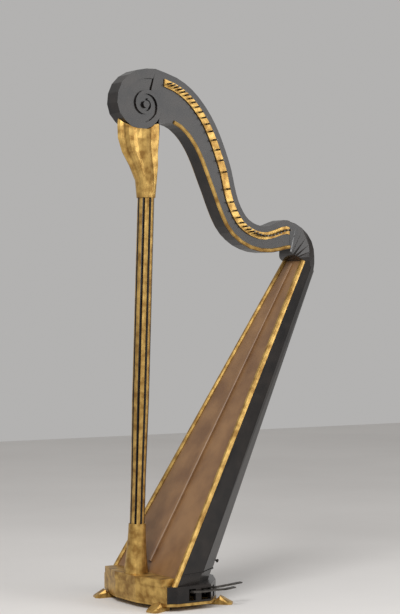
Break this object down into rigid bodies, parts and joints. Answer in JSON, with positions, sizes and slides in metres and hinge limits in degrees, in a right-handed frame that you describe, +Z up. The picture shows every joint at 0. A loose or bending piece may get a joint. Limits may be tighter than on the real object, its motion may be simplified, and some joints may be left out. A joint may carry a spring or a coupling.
{
  "type": "pedal harp",
  "caption": "Single-action pedal harp with scroll head, fluted column, rounded back and footed pedal box; pedals lift rods inside the column.",
  "frame": {"origin": "on the floor under the centre of the harp's box", "axes": "+Z up, column at -X, player at +X, player's left at -Y"},
  "size_m": [0.7578, 0.4602, 1.6409],
  "materials": {
    "lacquer": "black japanned lacquer, glossy",
    "gilt": "gilded carved wood",
    "iron": "blackened iron",
    "steel": "spring steel",
    "spruce": "varnished spruce",
    "beech": "plain unfinished wood"
  },
  "bodies": {
    "frame": {"back_knob": "iron", "back_stave_1": "lacquer", "back_stave_2": "lacquer", "back_stave_3": "lacquer", "back_stave_4": "lacquer", "back_stave_5": "lacquer", "back_stave_6": "lacquer", "back_stave_7": "lacquer", "base_box": "lacquer", "base_floor": "gilt", "base_front": "gilt", "base_plate": "gilt", "border_left": "gilt", "border_right": "gilt", "capital": "gilt", "column": "gilt", "column_foot": "gilt", "front_foot_left": "gilt", "front_foot_right": "gilt", "lining_left": "beech", "lining_right": "beech", "neck": "lacquer", "neck_cover": "lacquer", "neck_moulding_left": "gilt", "neck_moulding_right": "gilt", "pedal_spring_A": "steel", "pedal_spring_B": "steel", "pedal_spring_C": "steel", "pedal_spring_D": "steel", "pedal_spring_E": "steel", "pedal_spring_F": "steel", "pedal_spring_G": "steel", "pin_band": "gilt", "pivot_rail": "beech", "rear_foot_left": "gilt", "rear_foot_right": "gilt", "scroll": "lacquer", "shoulder": "lacquer", "soundboard": "spruce", "soundbox_skirt": "lacquer", "string_bar": "spruce", "top_block": "beech"},
    "pedal_D": {"pedal_D": "iron"},
    "rod_D": {"pedal_rod_D": "steel"},
    "pedal_C": {"pedal_C": "iron"},
    "rod_C": {"pedal_rod_C": "steel"},
    "pedal_B": {"pedal_B": "iron"},
    "rod_B": {"pedal_rod_B": "steel"},
    "pedal_E": {"pedal_E": "iron"},
    "rod_E": {"pedal_rod_E": "steel"},
    "pedal_F": {"pedal_F": "iron"},
    "rod_F": {"pedal_rod_F": "steel"},
    "pedal_G": {"pedal_G": "iron"},
    "rod_G": {"pedal_rod_G": "steel"},
    "pedal_A": {"pedal_A": "iron"},
    "rod_A": {"pedal_rod_A": "steel"}
  },
  "joints": [
    {"name": "pedal_D_hinge", "type": "hinge", "parent": "frame", "child": "pedal_D", "pos_m": [-0.27526, -0.05078, 0.0475], "axis": [0.9234, 0.3839, 0], "range_deg": [0, 6], "stiffness_Nm_per_rad": 6, "springref_deg": -8.59, "deforming": ["pedal_spring_D"]},
    {"name": "rod_D_slide", "type": "slide", "parent": "frame", "child": "rod_D", "axis": [0.0316, 0, 0.9995], "range_m": [0, 0.00533]},
    {"name": "pedal_C_hinge", "type": "hinge", "parent": "frame", "child": "pedal_C", "pos_m": [-0.2659, -0.04578, 0.0475], "axis": [0.8324, 0.5542, 0], "range_deg": [0, 6], "stiffness_Nm_per_rad": 6, "springref_deg": -8.59, "deforming": ["pedal_spring_C"]},
    {"name": "rod_C_slide", "type": "slide", "parent": "frame", "child": "rod_C", "axis": [0.0316, 0, 0.9995], "range_m": [0, 0.00492]},
    {"name": "pedal_B_hinge", "type": "hinge", "parent": "frame", "child": "pedal_B", "pos_m": [-0.25555, -0.03685, 0.0475], "axis": [0.67, 0.7424, 0], "range_deg": [0, 6], "stiffness_Nm_per_rad": 6, "springref_deg": -8.59, "deforming": ["pedal_spring_B"]},
    {"name": "rod_B_slide", "type": "slide", "parent": "frame", "child": "rod_B", "axis": [0.0316, 0, 0.9995], "range_m": [0, 0.00479]},
    {"name": "pedal_E_hinge", "type": "hinge", "parent": "frame", "child": "pedal_E", "pos_m": [-0.24487, 0.01928, 0.0475], "axis": [-0.3505, 0.9366, 0], "range_deg": [0, 6], "stiffness_Nm_per_rad": 6, "springref_deg": -8.59, "deforming": ["pedal_spring_E"]},
    {"name": "rod_E_slide", "type": "slide", "parent": "frame", "child": "rod_E", "axis": [0.0316, 0, 0.9995], "range_m": [0, 0.00485]},
    {"name": "pedal_F_hinge", "type": "hinge", "parent": "frame", "child": "pedal_F", "pos_m": [-0.25555, 0.03685, 0.0475], "axis": [-0.67, 0.7424, 0], "range_deg": [0, 6], "stiffness_Nm_per_rad": 6, "springref_deg": -8.59, "deforming": ["pedal_spring_F"]},
    {"name": "rod_F_slide", "type": "slide", "parent": "frame", "child": "rod_F", "axis": [0.0316, 0, 0.9995], "range_m": [0, 0.00479]},
    {"name": "pedal_G_hinge", "type": "hinge", "parent": "frame", "child": "pedal_G", "pos_m": [-0.2659, 0.04578, 0.0475], "axis": [-0.8324, 0.5542, 0], "range_deg": [0, 6], "stiffness_Nm_per_rad": 6, "springref_deg": -8.59, "deforming": ["pedal_spring_G"]},
    {"name": "rod_G_slide", "type": "slide", "parent": "frame", "child": "rod_G", "axis": [0.0316, 0, 0.9995], "range_m": [0, 0.00492]},
    {"name": "pedal_A_hinge", "type": "hinge", "parent": "frame", "child": "pedal_A", "pos_m": [-0.27526, 0.05078, 0.0475], "axis": [-0.9234, 0.3839, 0], "range_deg": [0, 6], "stiffness_Nm_per_rad": 6, "springref_deg": -8.59, "deforming": ["pedal_spring_A"]},
    {"name": "rod_A_slide", "type": "slide", "parent": "frame", "child": "rod_A", "axis": [0.0316, 0, 0.9995], "range_m": [0, 0.00533]}
  ],
  "couplings": [
    {"joint": "rod_D_slide", "follows": "pedal_D_hinge", "m_per_rad": 0.04991},
    {"joint": "rod_C_slide", "follows": "pedal_C_hinge", "m_per_rad": 0.04605},
    {"joint": "rod_B_slide", "follows": "pedal_B_hinge", "m_per_rad": 0.0448},
    {"joint": "rod_E_slide", "follows": "pedal_E_hinge", "m_per_rad": 0.04545},
    {"joint": "rod_F_slide", "follows": "pedal_F_hinge", "m_per_rad": 0.0448},
    {"joint": "rod_G_slide", "follows": "pedal_G_hinge", "m_per_rad": 0.04605},
    {"joint": "rod_A_slide", "follows": "pedal_A_hinge", "m_per_rad": 0.04991}
  ]
}
